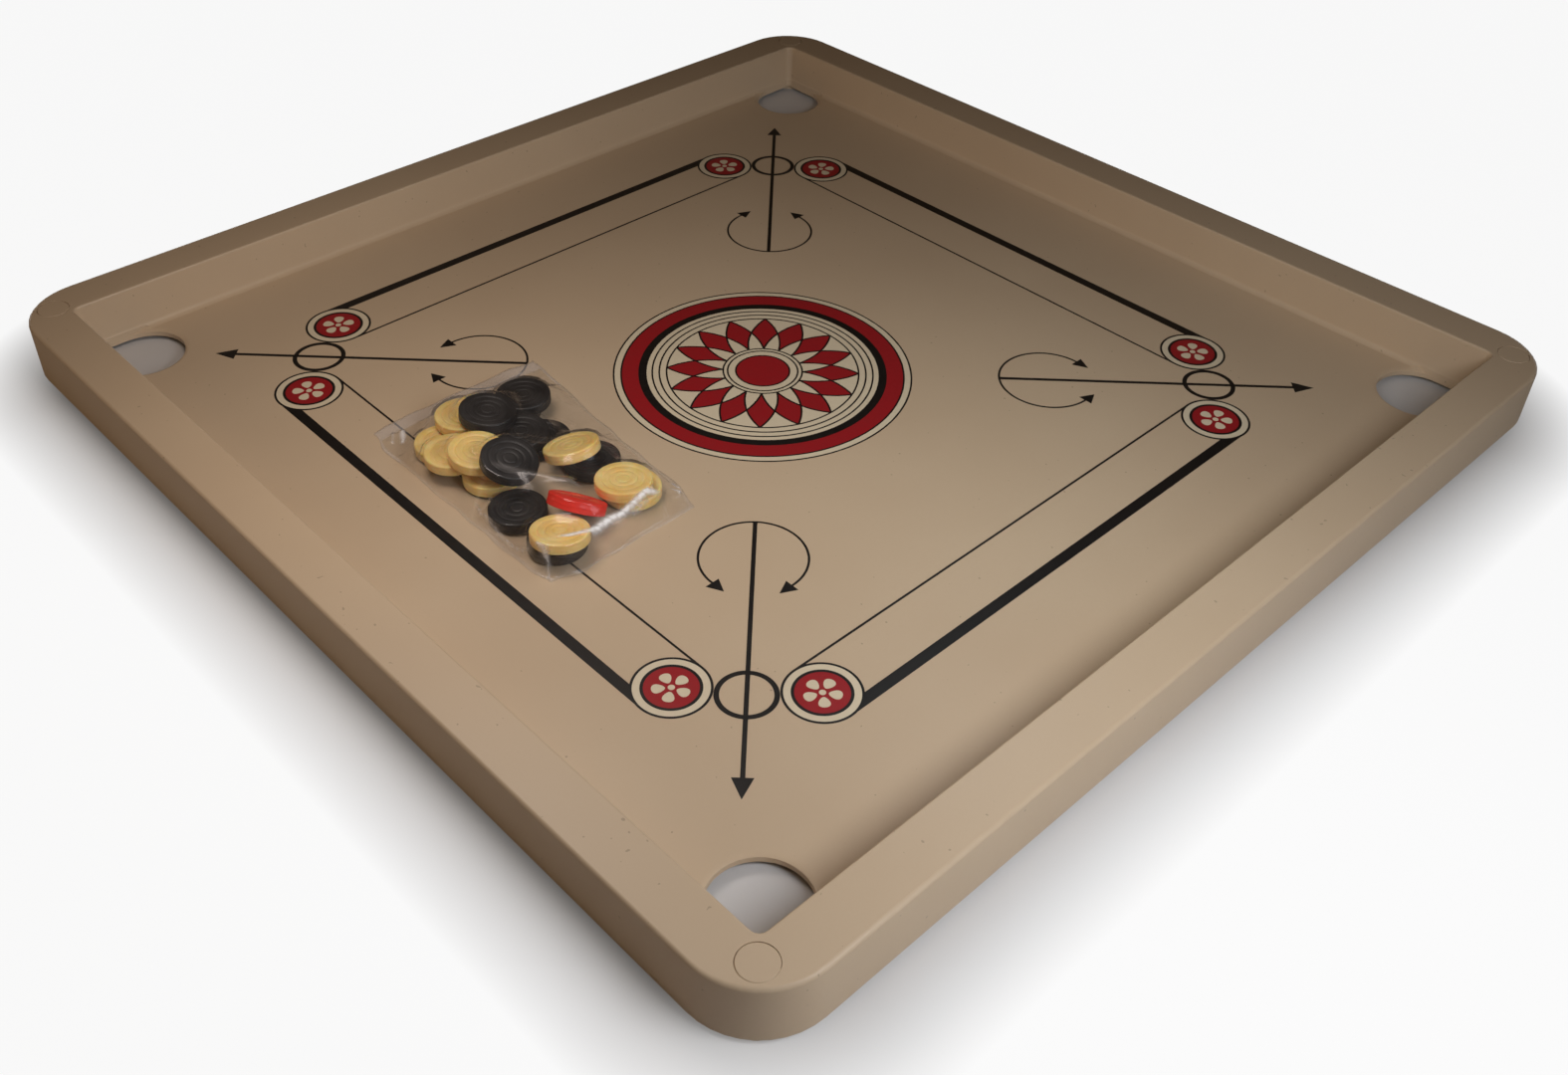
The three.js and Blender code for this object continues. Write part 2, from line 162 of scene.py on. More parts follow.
def moulded(name, light, dark, rough):
    """Injection-moulded plastic: soft clouding, fine orange peel, faint scuffs and a few specks."""
    n = Nodes(name)
    clouds = n.remap(n.noise(9.0, detail=4.0), 0.35, 0.65)
    grain = n.noise(900.0, detail=2.0)
    peel = n.noise(260.0, detail=2.0)
    scuffs = n.noise(70.0, detail=6.0, rough=0.75, stretch=(1.0, 9.0, 1.0))
    rubs = n.noise(55.0, detail=6.0, rough=0.75, stretch=(9.0, 1.0, 1.0))
    wear = n.remap(n.math("MAXIMUM", scuffs, rubs), 0.66, 0.8)
    speck = n.remap(grain, 0.3, 0.7, to_high=0.30)
    grit = n.remap(n.noise(520.0, detail=0.0), 0.85, 0.875, to_high=0.35)
    colour = n.mix(clouds, dark, light)
    colour = n.mix(speck, colour, dark)
    colour = n.mix(n.math("MULTIPLY", wear, 0.04), colour, WORN_TONE)
    colour = n.mix(grit, colour, GRIT_TONE)
    clouded = n.remap(clouds, 0.0, 1.0, rough - 0.05, rough + 0.04)
    roughness = n.math("ADD", clouded, n.math("MULTIPLY", wear, 0.12))
    normal = n.bump(peel, PEEL_DEPTH, strength=0.5)
    normal = n.bump(grain, GRAIN_DEPTH, strength=0.35, normal=normal)
    n.principled(Base_Color=colour, Roughness=roughness, Normal=normal, IOR=PLASTIC_IOR,
                 Specular_IOR_Level=PLASTIC_GLOSS)
    return n.material


INK_DEPTH = 0.00001


def ink(name, colour, worn, rough):
    """Screen-printed ink: slightly uneven density, pin-holes and a satin sheen."""
    n = Nodes(name)
    density = n.remap(n.noise(420.0, detail=4.0), 0.3, 0.75)
    blotch = n.remap(n.noise(38.0), 0.35, 0.7)
    pores = n.remap(n.noise(2400.0, detail=1.0), 0.72, 0.8)
    tone = n.mix(n.math("MULTIPLY", density, 0.35), colour, worn)
    tone = n.mix(n.math("MULTIPLY", blotch, 0.25), tone, worn)
    tone = n.mix(n.math("MULTIPLY", pores, 0.4), tone, worn)
    roughness = n.remap(density, 0.0, 1.0, rough, rough + 0.12)
    normal = n.bump(n.noise(1500.0, detail=2.0), INK_DEPTH, strength=0.5)
    n.principled(Base_Color=tone, Roughness=roughness, Normal=normal)
    return n.material


MAN_IOR = 1.46
MAN_GRAIN_DEPTH = 0.00002
GLOW_REACH = 0.005  # how deep light goes into a man, metres
GLOW_SPREAD = (1.0, 0.45, 0.15)  # share of that depth for red, green and blue


def man_plastic(name, light, dark, glow, rough, inside):
    """Polished plastic: swirled colour, paler specks and light that goes a little way in."""
    n = Nodes(name)
    swirl = n.remap(n.noise(120.0, detail=5.0, rough=0.6, stretch=(1.0, 1.0, 2.5)), 0.3, 0.7)
    specks = n.remap(n.noise(2600.0, detail=2.0), 0.62, 0.75)
    colour = n.mix(swirl, dark, light)
    colour = n.mix(n.math("MULTIPLY", specks, 0.25), colour, glow)
    roughness = n.remap(n.noise(600.0, detail=4.0), 0.3, 0.7, rough - 0.06, rough + 0.08)
    normal = n.bump(n.noise(1300.0), MAN_GRAIN_DEPTH, strength=0.45)
    n.principled(Base_Color=colour, Roughness=roughness, Normal=normal, IOR=MAN_IOR, Subsurface_Weight=inside,
                 Subsurface_Radius=GLOW_SPREAD, Subsurface_Scale=GLOW_REACH)
    return n.material


FILM_IOR = 1.45
FILM_CLEAR_TONE = (0.99, 0.99, 0.99, 1.0)
FILM_HAZE_TONE = (0.62, 0.57, 0.54, 1.0)
# white of the painted highlights along the folds and of the painted glare on the left seal
FILM_HIGHLIGHT_TONE = (1.0, 1.0, 1.0, 1.0)
FILM_SHINE_TONE = (0.95, 0.95, 0.97, 1.0)
FILM_SHINE_ROUGH = 0.16
FILM_RIPPLE_DEPTH = 0.00035
FILM_GRAIN_DEPTH = 0.00002
FILM_MILK_HIGHLIGHT_GAIN = 1.2
FILM_MOST_WHITE = 0.97
FILM_SHADOW = 0.2  # share of the haze that casts a shadow


def clear_film(name, haze):
    """Thin clear film: sees through, mirrors at grazing angles, goes milky with haze and over the seals, and
    white with painted highlights along folds and painted glare on the left seal.
    """
    n = Nodes(name)
    milk_and_highlight = n.node("ShaderNodeAttribute")
    milk_and_highlight.attribute_name = MILK_AND_HIGHLIGHT
    milk_and_highlight = milk_and_highlight.outputs["Fac"]
    normal = n.bump(n.noise(240.0, rough=0.6), FILM_RIPPLE_DEPTH, strength=0.30)
    normal = n.bump(n.noise(1400.0), FILM_GRAIN_DEPTH, strength=0.4, normal=normal)
    cloud = n.remap(n.noise(90.0, detail=4.0), 0.35, 0.75, haze * 0.5, haze * 1.6)
    front = n.math("SUBTRACT", 1.0, n.node("ShaderNodeNewGeometry").outputs["Backfacing"])
    shadow = n.node("ShaderNodeLightPath").outputs["Is Shadow Ray"]
    front = n.math("MULTIPLY", front, n.remap(shadow, 0.0, 1.0, 1.0, FILM_SHADOW))
    amount = n.math("ADD", cloud, n.math("MULTIPLY", milk_and_highlight, FILM_MILK_HIGHLIGHT_GAIN))
    amount = n.math("MULTIPLY", n.math("MINIMUM", amount, FILM_MOST_WHITE), front)
    clear = n.node("ShaderNodeBsdfTransparent", Color=FILM_CLEAR_TONE)
    # painted highlight: the attribute turns the haze white along folds and over the left seal, standing for
    # glints and glare
    tone = n.mix(milk_and_highlight, FILM_HAZE_TONE, FILM_HIGHLIGHT_TONE)
    haze_and_highlight = n.node("ShaderNodeBsdfDiffuse", Color=tone, Normal=normal)
    body = n.mix_shaders(amount, clear, haze_and_highlight)
    shine = n.node("ShaderNodeBsdfGlossy", Color=FILM_SHINE_TONE, Roughness=FILM_SHINE_ROUGH, Normal=normal)
    edge = n.node("ShaderNodeFresnel", IOR=FILM_IOR, Normal=normal)
    film = n.mix_shaders(n.math("MULTIPLY", edge.outputs[0], front), body, shine)
    n.surface(film)
    return n.material


# ---------- mesh helpers

def add_mesh(name, points_mm, faces, material, smooth=False):
    mesh = bpy.data.meshes.new(name)
    points = np.asarray(points_mm, float) * MM
    mesh.from_pydata(points.tolist(), [], faces)
    mesh.update()
    mesh.materials.append(material)
    if smooth:
        mesh.polygons.foreach_set("use_smooth", [True] * len(mesh.polygons))
    obj = bpy.data.objects.new(name, mesh)
    bpy.context.scene.collection.objects.link(obj)
    return obj


def circle(centre, r, angles):
    return [(centre[0] + r * math.cos(t), centre[1] + r * math.sin(t)) for t in angles]


class Ink:
    """Flat shapes of one ink, each a thin closed body standing just proud of the field."""

    BELOW = 0.02  # its underside lies this far inside the field

    def __init__(self, height):
        self.height = height
        self.points = []
        self.faces = []

    def to_board(self, points):
        return [(PRINT_CENTRE[0] + x * PRINT_UNIT, PRINT_CENTRE[1] + y * PRINT_UNIT) for x, y in points]

    def lay(self, outline, rise=0.0):
        """A shape with no hole, its outline counter-clockwise, its top raised by rise."""
        flat = self.to_board(outline)
        first = len(self.points)
        count = len(flat)
        top = FIELD_Z + self.height + rise
        self.points += [(x, y, FIELD_Z - self.BELOW) for x, y in flat]
        self.points += [(x, y, top) for x, y in flat]
        self.faces.append([first + i for i in reversed(range(count))])
        self.faces.append([first + count + i for i in range(count)])
        for i in range(count):
            j = (i + 1) % count
            self.faces.append([first + i, first + j, first + count + j, first + count + i])

    def ribbon(self, left, right, closed=False, rise=0.0):
        """A band between two lines of points, the first on its left as it runs."""
        a = self.to_board(left)
        b = self.to_board(right)
        first = len(self.points)
        count = len(a)
        low = FIELD_Z - self.BELOW
        top = FIELD_Z + self.height + rise
        for (ax, ay), (bx, by) in zip(a, b):
            self.points += [(ax, ay, low), (bx, by, low), (bx, by, top), (ax, ay, top)]
        pairs = count if closed else count - 1
        for i in range(pairs):
            j = first + 4 * i
            k = first + 4 * ((i + 1) % count)
            for s in range(4):
                t = (s + 1) % 4
                self.faces.append([j + s, j + t, k + t, k + s])
        if not closed:
            last = first + 4 * (count - 1)
            self.faces.append([first + 3, first + 2, first + 1, first])
            self.faces.append([last, last + 1, last + 2, last + 3])

    def ring(self, centre, inner, outer, steps, start=0.0, end=360.0):
        """A flat ring, or an arc of one from start to end degrees."""
        closed = end - start >= 360
        count = steps if closed else steps + 1
        angles = [math.radians(start + (end - start) * i / steps) for i in range(count)]
        self.ribbon(circle(centre, inner, angles), circle(centre, outer, angles), closed)

    def line_ring(self, centre, radius, width, steps):
        self.ring(centre, radius - width / 2, radius + width / 2, steps)

    def disc(self, centre, radius, steps):
        self.lay(circle(centre, radius, [2 * math.pi * i / steps for i in range(steps)]))

    def stroke(self, points, width, rise=0.0):
        """A line of even width through points."""
        p = np.asarray(points, float)
        along = np.gradient(p, axis=0)
        along /= np.linalg.norm(along, axis=1)[:, None]
        side = np.stack([-along[:, 1], along[:, 0]], axis=1) * width / 2
        self.ribbon((p + side).tolist(), (p - side).tolist(), False, rise)

    def arrowhead(self, tip, direction, length, width, rise=0.0):
        tip = np.asarray(tip, float)
        d = np.asarray(direction, float) / np.linalg.norm(direction)
        side = np.array([-d[1], d[0]]) * width / 2
        base = tip - d * length
        self.lay([tuple(tip), tuple(base + side), tuple(base - side)], rise)

    def finish(self, name, material):
        obj = add_mesh(name, self.points, self.faces, material)
        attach(obj, "board")


# ---------- materials

BOARD_LIGHT = rgb(204, 182, 153)
BOARD_DARK = rgb(200, 177, 148)
board_plastic = moulded("board_plastic_satin", BOARD_LIGHT, BOARD_DARK, rough=0.42)
foot_plastic = moulded("foot_plastic_satin", BOARD_LIGHT, BOARD_DARK, rough=0.44)
black_ink = ink("ink_black", rgb(16, 14, 14), worn=rgb(34, 29, 26), rough=0.40)
red_ink = ink("ink_red", rgb(158, 27, 34), worn=rgb(140, 32, 36), rough=0.36)
pale_ink = ink("ink_pale", rgb(222, 208, 180), worn=rgb(210, 194, 166), rough=0.40)
cream_plastic = man_plastic("man_cream", rgb(248, 222, 152), rgb(236, 196, 112), glow=rgb(252, 230, 172),
                            rough=0.36, inside=0.45)
black_plastic = man_plastic("man_black", rgb(20, 21, 24), rgb(10, 10, 13), glow=rgb(52, 52, 56),
                            rough=0.50, inside=0.0)
red_plastic = man_plastic("man_red", rgb(240, 42, 20), rgb(222, 28, 14), glow=rgb(246, 84, 50),
                          rough=0.62, inside=0.10)
upper_film = clear_film("film_clear_upper", haze=0.035)
lower_film = clear_film("film_clear_lower", haze=0.02)


# ---------- print on the field

# How far each ink stands above the field, in millimetres. The rest of the print's sizes are in print units.
PALE_HEIGHT = 0.03
RED_HEIGHT = 0.05
BLACK_HEIGHT = 0.07
LAP = 0.01  # black shapes that cross lie this far above each other

# Points round each kind of shape.
ROSETTE_STEPS = 256
HUB_STEPS = 128
CIRCLE_STEPS = 96
ARC_STEPS = 120
PETAL_STEPS = 24
BAR_END_STEPS = 8
DOT_STEPS = 32

BASE_NEAR = 0.764  # base circle centres, along and across each side
BASE_FAR = 1.0
BASE_RING_R = 0.0904
BASE_RING_WIDTH = 0.006
BASE_RED_R = 0.063
BASE_OUTLINE_R = 0.0705

LINE_INNER = BASE_FAR - BASE_RING_R  # the thin base line touches the circles' inner sides
LINE_WIDTH = 0.006
BAR_FROM = 1.062  # the thick base line's inner and outer edges
BAR_TO = 1.092

SMALL_CENTRE = 0.892  # corner circles, arrows and arcs, along both sides
SMALL_INNER_R = 0.061
SMALL_OUTER_R = 0.0735

ARROW_START = 0.473
ARROW_TIP = 1.101
ARROW_WIDTH = 0.011
ARROW_HEAD = (0.058, 0.049)  # length and width
ARROW_NECK = 0.9  # the line ends this share of the head's length short of the tip
ARC_CENTRE = 0.569
ARC_R = 0.135
ARC_WIDTH = 0.006
ARC_HEAD = (0.042, 0.042)
ARC_FROM = 90  # degrees, before the corner's own turn
ARC_TO = 360

ROSETTE_R = 0.421  # the rosette's other radii are shares of this
ROSETTE_LINES = (1.0, 0.95, 0.742, 0.695, 0.646, 0.266, 0.236)
ROSETTE_LINE_WIDTH = 0.0048
ROSETTE_RED = (0.835, 0.95)
ROSETTE_BLACK = (0.78, 0.835)
ROSETTE_HUB_R = 0.181
PETALS = 16
PETAL_TIP_R = 0.646
PETAL_CROSS_R = 0.469
PETAL_ROOT_R = 0.266
PETAL_LINE_WIDTH = 0.0052
QUARTERS = (0, 90, 180, 270)

FLOWER_PETALS = 5
FLOWER_REACH = 0.72 * BASE_RED_R
FLOWER_ROOT = 0.22 * BASE_RED_R
FLOWER_PETAL_WIDTH = 0.21 * BASE_RED_R
FLOWER_PETAL_FLARE = 0.35  # how much wider a petal is at its outer end
FLOWER_DOT_R = 0.13 * BASE_RED_R


def turn(points, degrees):
    """The points turned anticlockwise about the print's centre."""
    c = math.cos(math.radians(degrees))
    s = math.sin(math.radians(degrees))
    return [(c * x - s * y, s * x + c * y) for x, y in points]


def mirrored(points):
    return [(-x, y) for x, y in points]


def through(a, b, c, steps):
    """Points on the circle through a, b and c, from a to c."""
    (ax, ay), (bx, by), (cx, cy) = a, b, c
    d = 2 * (ax * (by - cy) + bx * (cy - ay) + cx * (ay - by))
    sa = ax * ax + ay * ay
    sb = bx * bx + by * by
    sc = cx * cx + cy * cy
    ux = (sa * (by - cy) + sb * (cy - ay) + sc * (ay - by)) / d
    uy = (sa * (cx - bx) + sb * (ax - cx) + sc * (bx - ax)) / d
    r = math.hypot(ax - ux, ay - uy)
    start = math.atan2(ay - uy, ax - ux)
    end = math.atan2(cy - uy, cx - ux)
    if end - start > math.pi:
        end -= 2 * math.pi
    if start - end > math.pi:
        end += 2 * math.pi
    angles = [start + (end - start) * i / steps for i in range(steps + 1)]
    return [(ux + r * math.cos(t), uy + r * math.sin(t)) for t in angles]


def polar(r, degrees):
    """A point of the rosette: r as a share of its radius, degrees clockwise from +Y."""
    t = math.radians(degrees)
    return (r * ROSETTE_R * math.sin(t), r * ROSETTE_R * math.cos(t))


def rosette_petal(step):
    """The line along one side of a petal, and the petal's outline, counter-clockwise."""
    tip = polar(PETAL_TIP_R, 0)
    cross = polar(PETAL_CROSS_R, step / 2)
    root = polar(PETAL_ROOT_R, step)
    edge = through(tip, cross, root, PETAL_STEPS)
    crossing = next(i for i, (x, y) in enumerate(edge) if math.degrees(math.atan2(x, y)) > step / 2)
    outer = edge[:crossing] + [cross]
    inner = turn(mirrored(edge[crossing:]), -step)
    side = outer + inner
    return edge, mirrored(side) + side[-2:0:-1]


def three_inks():
    return Ink(PALE_HEIGHT), Ink(RED_HEIGHT), Ink(BLACK_HEIGHT)


def draw_rosette():
    pale, red, black = three_inks()
    centre = (0.0, 0.0)
    hub_r = ROSETTE_HUB_R * ROSETTE_R
    pale.disc(centre, ROSETTE_R, ROSETTE_STEPS)
    red.ring(centre, ROSETTE_RED[0] * ROSETTE_R, ROSETTE_RED[1] * ROSETTE_R, ROSETTE_STEPS)
    black.ring(centre, ROSETTE_BLACK[0] * ROSETTE_R, ROSETTE_BLACK[1] * ROSETTE_R, ROSETTE_STEPS)
    for share in ROSETTE_LINES:
        black.line_ring(centre, share * ROSETTE_R, ROSETTE_LINE_WIDTH, ROSETTE_STEPS)
    red.disc(centre, hub_r, HUB_STEPS)
    black.line_ring(centre, hub_r, ROSETTE_LINE_WIDTH, HUB_STEPS)
    step = 360 / PETALS
    edge, petal = rosette_petal(step)
    for k in range(PETALS):
        red.lay(turn(petal, -k * step))
        black.stroke(turn(edge, -k * step), PETAL_LINE_WIDTH, LAP * (1 + k % 2))
        black.stroke(turn(mirrored(edge), -k * step), PETAL_LINE_WIDTH, LAP * (3 + k % 2))
    pale.finish("rosette_pale", pale_ink)
    red.finish("rosette_red", red_ink)
    black.finish("rosette_black", black_ink)


def draw_base_circles():
    pale, red, black = three_inks()
    flowers = Ink(BLACK_HEIGHT)
    pair = [(-BASE_NEAR, -BASE_FAR), (BASE_NEAR, -BASE_FAR)]
    for centre in [point for degrees in QUARTERS for point in turn(pair, degrees)]:
        pale.disc(centre, BASE_RING_R, CIRCLE_STEPS)
        red.disc(centre, BASE_RED_R, CIRCLE_STEPS)
        black.ring(centre, BASE_RED_R, BASE_OUTLINE_R, CIRCLE_STEPS)
        black.line_ring(centre, BASE_RING_R, BASE_RING_WIDTH, CIRCLE_STEPS)
        draw_flower(flowers, centre)
    pale.finish("base_circle_pale", pale_ink)
    red.finish("base_circle_red", red_ink)
    black.finish("base_circle_black", black_ink)
    flowers.finish("base_circle_flowers", pale_ink)


def draw_flower(flowers, centre):
    """Five plain petals round a dot."""
    outward = math.degrees(math.atan2(centre[1], centre[0]))
    middle = (FLOWER_REACH + FLOWER_ROOT) / 2
    half = (FLOWER_REACH - FLOWER_ROOT) / 2
    outline = []
    for i in range(PETAL_STEPS):
        t = 2 * math.pi * i / PETAL_STEPS
        across = FLOWER_PETAL_WIDTH * math.sin(t) * (1 + FLOWER_PETAL_FLARE * math.cos(t))
        outline.append((middle + half * math.cos(t), across))
    for k in range(FLOWER_PETALS):
        turned = turn(outline, outward + 360 * k / FLOWER_PETALS)
        flowers.lay([(centre[0] + x, centre[1] + y) for x, y in turned])
    flowers.disc(centre, FLOWER_DOT_R, DOT_STEPS)


def thick_bar():
    """Outline of the thick base line, its ends hollowed to follow the rings of the base circles."""
    clear = BASE_RING_R + BASE_RING_WIDTH / 2
    start = math.asin((BAR_FROM - BASE_FAR) / clear)
    end = math.asin((BAR_TO - BASE_FAR) / clear)
    places = range(BAR_END_STEPS + 1)
    outline = []
    for side, order in ((-1, reversed(places)), (1, places)):
        for i in order:
            t = start + (end - start) * i / BAR_END_STEPS
            outline.append((side * (BASE_NEAR - clear * math.cos(t)), -BASE_FAR - clear * math.sin(t)))
    return outline[::-1]


def draw_lines():
    thin = Ink(BLACK_HEIGHT)
    bars = Ink(BLACK_HEIGHT)
    for degrees in QUARTERS:
        line = [(-BASE_NEAR, -LINE_INNER), (BASE_NEAR, -LINE_INNER)]
        thin.stroke(turn(line, degrees), LINE_WIDTH, LAP)
        bars.lay(turn(thick_bar(), degrees))
    thin.finish("base_lines_thin", black_ink)
    bars.finish("base_lines_thick", black_ink)


def draw_corners():
    circles = Ink(BLACK_HEIGHT)
    arrows = Ink(BLACK_HEIGHT + LAP)
    arcs = Ink(BLACK_HEIGHT)
    head, width = ARROW_HEAD
    neck = ARROW_TIP - head * ARROW_NECK / math.sqrt(2)
    arc_head, arc_head_width = ARC_HEAD
    arc_ends = [(ARC_CENTRE + ARC_R, ARC_CENTRE + arc_head), (ARC_CENTRE + arc_head, ARC_CENTRE + ARC_R)]
    half = ARC_WIDTH / 2
    for degrees in QUARTERS:
        centre = turn([(SMALL_CENTRE, SMALL_CENTRE)], degrees)[0]
        circles.ring(centre, SMALL_INNER_R, SMALL_OUTER_R, CIRCLE_STEPS)
        arrows.stroke(turn([(ARROW_START, ARROW_START), (neck, neck)], degrees), ARROW_WIDTH)
        tip, along = turn([(ARROW_TIP, ARROW_TIP), (1.0, 1.0)], degrees)
        arrows.arrowhead(tip, along, head, width, LAP)
        centre = turn([(ARC_CENTRE, ARC_CENTRE)], degrees)[0]
        arcs.ring(centre, ARC_R - half, ARC_R + half, ARC_STEPS, ARC_FROM + degrees, ARC_TO + degrees)
        ways = turn([(0.0, 1.0), (1.0, 0.0)], degrees)
        for end, way in zip(turn(arc_ends, degrees), ways):
            arcs.arrowhead(end, way, arc_head, arc_head_width, LAP)
    circles.finish("corner_circles", black_ink)
    arrows.finish("corner_arrows", black_ink)
    arcs.finish("corner_arcs", black_ink)


draw_rosette()
draw_base_circles()
draw_lines()
draw_corners()


# ---------- board and feet

SMOOTH_BELOW_DEGREES = 40
WELD_DISTANCE = 0.000002  # metres
NORMAL_WEIGHT = 80  # large faces rule the shading of the small ones beside them


def facet_smoother():
    """Joins the facets, then shades them smooth except across edges sharper than the limit."""
    tree = bpy.data.node_groups.new("smooth_facets", "GeometryNodeTree")
    tree.is_modifier = True
    for way in ("INPUT", "OUTPUT"):
        tree.interface.new_socket("Geometry", in_out=way, socket_type="NodeSocketGeometry")
    def add(kind, **inputs):
        made = tree.nodes.new(kind)
        for key, value in inputs.items():
            made.inputs[key.replace("_", " ")].default_value = value
        return made
    drop = add("GeometryNodeRemoveAttribute", Name="custom_normal")
    weld = add("GeometryNodeMergeByDistance", Distance=WELD_DISTANCE)
    faces = add("GeometryNodeSetShadeSmooth", Shade_Smooth=True)
    faces.domain = "FACE"
    angle = add("GeometryNodeInputMeshEdgeAngle")
    sharp = add("FunctionNodeCompare", B=math.radians(SMOOTH_BELOW_DEGREES))
    sharp.data_type = "FLOAT"
    sharp.operation = "GREATER_THAN"
    edges = add("GeometryNodeSetShadeSmooth", Shade_Smooth=False)
    edges.domain = "EDGE"
    chain = (add("NodeGroupInput"), drop, weld, faces, edges, add("NodeGroupOutput"))
    for first, second in zip(chain, chain[1:]):
        tree.links.new(first.outputs[0], second.inputs[0])
    tree.links.new(angle.outputs["Unsigned Angle"], sharp.inputs["A"])
    tree.links.new(sharp.outputs["Result"], edges.inputs["Selection"])
    return tree


smooth_facets = facet_smoother()


def finish_cad(node, material):
    obj = frame["nodes"][node]
    obj.data.materials.clear()
    obj.data.materials.append(material)
    smoother = obj.modifiers.new("smooth_facets", "NODES")
    smoother.node_group = smooth_facets
    weights = obj.modifiers.new("weighted_normals", "WEIGHTED_NORMAL")
    weights.keep_sharp = True
    weights.weight = NORMAL_WEIGHT


finish_cad("board_moulding", board_plastic)
for corner in ("front", "right", "back", "left"):
    finish_cad(f"corner_foot_{corner}", foot_plastic)


# ---------- men

# Millimetres.
MAN_STEPS = 96
FACE_STEPS = 64
EDGE_STEPS = 6
EDGE_ROUND = 0.85
QUEEN_EDGE_ROUND = 0.45
RIM_INNER_R = 9.4
RIM_RISE = 0.26
RIM_SLOPE = 0.6  # half the width of the slope from the rim to the face
GROOVES = ((8.8, 0.16, 0.35), (5.7, 0.30, 0.50), (2.9, 0.28, 0.45))  # radius, depth, half width
PARTING_RISE = 0.02  # how far the line round the middle of the side stands out
PARTING_HALF = 0.06  # half its width at the crest
PARTING_FOOT = 0.12  # half its width at the foot
SIDE_START = 0.15  # from the end of the rounded edge to the straight side
SAME_POINT_DIGITS = 4  # corners of facets that agree to this many decimals are one point


def man_points(name):
    """The CAD node's distinct vertices, in millimetres."""
    mesh = frame["nodes"][name].data
    points = np.zeros(len(mesh.vertices) * 3)
    mesh.vertices.foreach_get("co", points)
    return np.unique(np.round(points.reshape(-1, 3) / MM, SAME_POINT_DIGITS), axis=0)


def man_place(name):
    """Centre, axis, radius and half thickness of the man that a CAD node stands for."""
    points = man_points(name)
    centre = points.mean(axis=0)
    away = points - centre
    axis = np.linalg.svd(away, full_matrices=False)[2][2]
    axis = axis if axis[2] > 0 else -axis
    up = away @ axis
    out = np.linalg.norm(away - np.outer(up, axis), axis=1)
    return centre, axis, out.max(), up.max()


def face_height(r, half):
    """Height of a man's face at radius r: a raised rim and round grooves."""
    blend = min(max((r - RIM_INNER_R + RIM_SLOPE) / (2 * RIM_SLOPE), 0.0), 1.0)
    z = half - RIM_RISE * (1 - blend * blend * (3 - 2 * blend))
    for radius, depth, width in GROOVES:
        z -= depth * math.exp(-(((r - radius) / width) ** 2))
    return z


def man_profile(radius, half, edge):
    """[radius, height] from the centre of the top, over the rim, down to the centre of the underside."""
    top = [(r, face_height(r, half)) for r in np.linspace(0.0, radius - edge, FACE_STEPS)]
    for i in range(1, EDGE_STEPS + 1):
        t = math.pi / 2 * i / EDGE_STEPS
        top.append((radius - edge + edge * math.sin(t), half - edge * (1 - math.cos(t))))
    straight = radius - PARTING_RISE
    top += [(straight, half - edge - SIDE_START), (straight, PARTING_FOOT), (radius, PARTING_HALF)]
    return top + [(r, -z) for r, z in reversed(top)]


def turned_body(name, profile, centre, axis, spin, material):
    """A closed lathe body whose profile starts and ends on its axis."""
    frame_x = np.cross(axis, (0.0, 1.0, 0.0))
    frame_x /= np.linalg.norm(frame_x)
    frame_y = np.cross(axis, frame_x)
    inner = profile[1:-1]
    steps = MAN_STEPS
    points = [centre + axis * profile[0][1]]
    for r, z in inner:
        for k in range(steps):
            t = spin + 2 * math.pi * k / steps
            points.append(centre + axis * z + frame_x * r * math.cos(t) + frame_y * r * math.sin(t))
    points.append(centre + axis * profile[-1][1])
    faces = [[0, 1 + k, 1 + (k + 1) % steps] for k in range(steps)]
    for ring in range(len(inner) - 1):
        a = 1 + ring * steps
        b = a + steps
        for k in range(steps):
            m = (k + 1) % steps
            faces.append([a + k, b + k, b + m, a + m])
    a = 1 + (len(inner) - 1) * steps
    last = len(points) - 1
    faces += [[a + k, last, a + (k + 1) % steps] for k in range(steps)]
    return add_mesh(name, points, faces, material, smooth=True)


def build_men():
    looks = {"cream": (cream_plastic, "cream_plastic"), "black": (black_plastic, "black_plastic")}
    names = [f"{colour}_man_{i}" for colour in ("cream", "black") for i in range(1, 10)] + ["queen"]
    for name in names:
        material, slot = looks.get(name.split("_")[0], (red_plastic, "red_plastic"))
        centre, axis, radius, half = man_place(name)
        profile = man_profile(radius, half, QUEEN_EDGE_ROUND if name == "queen" else EDGE_ROUND)
        spin = rng.uniform(0, 2 * math.pi)
        obj = turned_body(f"turned_{name}", profile, centre, axis, spin, material)
        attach(obj, "packet")
        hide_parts(name)


build_men()


# ---------- packet film

# Millimetres, unless a comment says otherwise. u runs from the packet's left end to its right, v from
# its front edge to its back, both 0 to 1.
FILM_CELLS = (168, 104)
FILM_SLACK = 1.075  # the film's own size over its footprint's
FILM_THICK = 0.12
FILM_GAP = 0.45  # from a man to the film's middle
EDGE_SEAL = 1.6
LEFT_SEAL = 8.0
HEIGHT_CELL = 0.5  # grid of the height map that the film rests on
HEIGHT_MARGIN = 5  # the map reaches this far past the packet
HEIGHT_WIDENINGS = 2  # cells by which the men are widened in the map
CORNER_CURL = ((2.0, 3.0), (-3.5, 3.0), (0.5, -3.0), (1.5, -1.5))  # how far each corner is drawn in
CURL_REACH = 16.0
EDGE_WAVE = 0.4
EDGE_WAVE_POWER = 8  # the higher, the closer to the edge the wave stays
FRONT_WAVE = (0.23, 1.3, 0.071)  # rate, bend and rate of bend of the waves along the long edges
SIDE_WAVE = (0.27, 1.1, 0.083)
BACK_DRAW = 2.0  # the back edge's middle is drawn in by this
BACK_DRAW_POWER = 4
TINY = 1e-9  # stands for zero in tests and divisions

